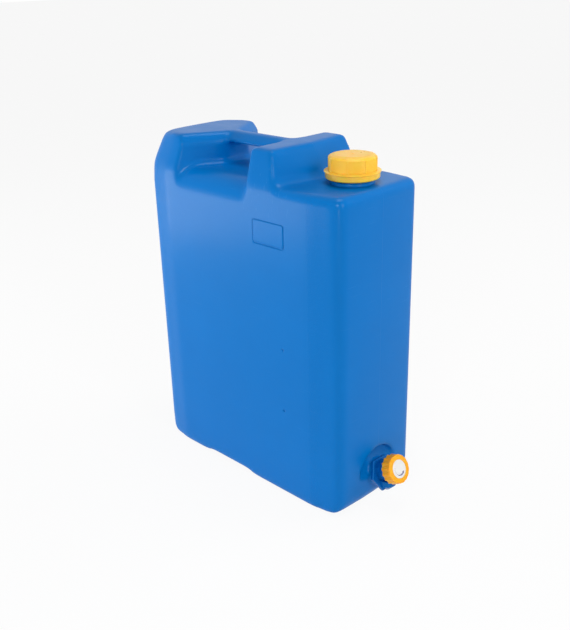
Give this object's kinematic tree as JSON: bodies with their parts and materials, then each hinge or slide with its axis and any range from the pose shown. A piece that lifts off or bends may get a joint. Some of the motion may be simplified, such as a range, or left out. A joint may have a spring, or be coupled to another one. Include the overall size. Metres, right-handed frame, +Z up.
{
  "type": "jerry can",
  "caption": "Upright plastic jerry can with an integral top handle, a threaded filling neck with screw cap and tamper ring, and a low dispensing tap.",
  "frame": {"origin": "middle of the can's footprint on the ground", "axes": "+X along the can's length towards the end with the filling neck and the tap, +Z up"},
  "size_m": [0.4031, 0.16, 0.47],
  "materials": {
    "can": "satin, lightly grained",
    "tap": "semi-gloss",
    "cap": "semi-gloss",
    "knob": "semi-gloss",
    "disc": "smooth",
    "bonnet": "semi-gloss",
    "stem": "smooth",
    "rubber": "matt",
    "foam_seal": "matt",
    "screw": "plain"
  },
  "bodies": {
    "can": {"can_body": "can", "tap_body": "tap", "tap_gasket": "rubber", "tap_bonnet": "bonnet", "bonnet_seal": "rubber", "stem_o_ring": "rubber"},
    "cap_seal": {"cap_gasket": "foam_seal"},
    "cap": {"screw_cap": "cap"},
    "ring": {"tamper_ring": "cap"},
    "valve": {"valve_seal": "rubber"},
    "knob": {"tap_stem": "stem", "valve_screw": "screw", "tap_knob": "knob", "knob_disc": "disc", "knob_screw": "screw"}
  },
  "joints": [
    {"name": "cap_lift", "type": "slide", "parent": "can", "child": "cap_seal", "axis": [0, 0, 1], "range_m": [0, 0.0221]},
    {"name": "cap_turn", "type": "hinge", "parent": "cap_seal", "child": "cap", "pos_m": [0.1332, 0, 0.45], "axis": [0, 0, 1], "range_deg": [0, 1980]},
    {"name": "ring_turn", "type": "hinge", "parent": "can", "child": "ring", "pos_m": [0.1332, 0, 0.438], "axis": [0, 0, 1], "continuous": true},
    {"name": "valve_lift", "type": "slide", "parent": "can", "child": "valve", "axis": [0.9041, 0, 0.4274], "range_m": [0, 0.0026]},
    {"name": "knob_turn", "type": "hinge", "parent": "valve", "child": "knob", "pos_m": [0.1839, 0, 0.045], "axis": [0.9041, 0, 0.4274], "range_deg": [0, 360]}
  ],
  "couplings": [
    {"joint": "cap_lift", "follows": "cap_turn", "m_per_rad": 0.00063662},
    {"joint": "valve_lift", "follows": "knob_turn", "m_per_rad": 0.00039789}
  ]
}
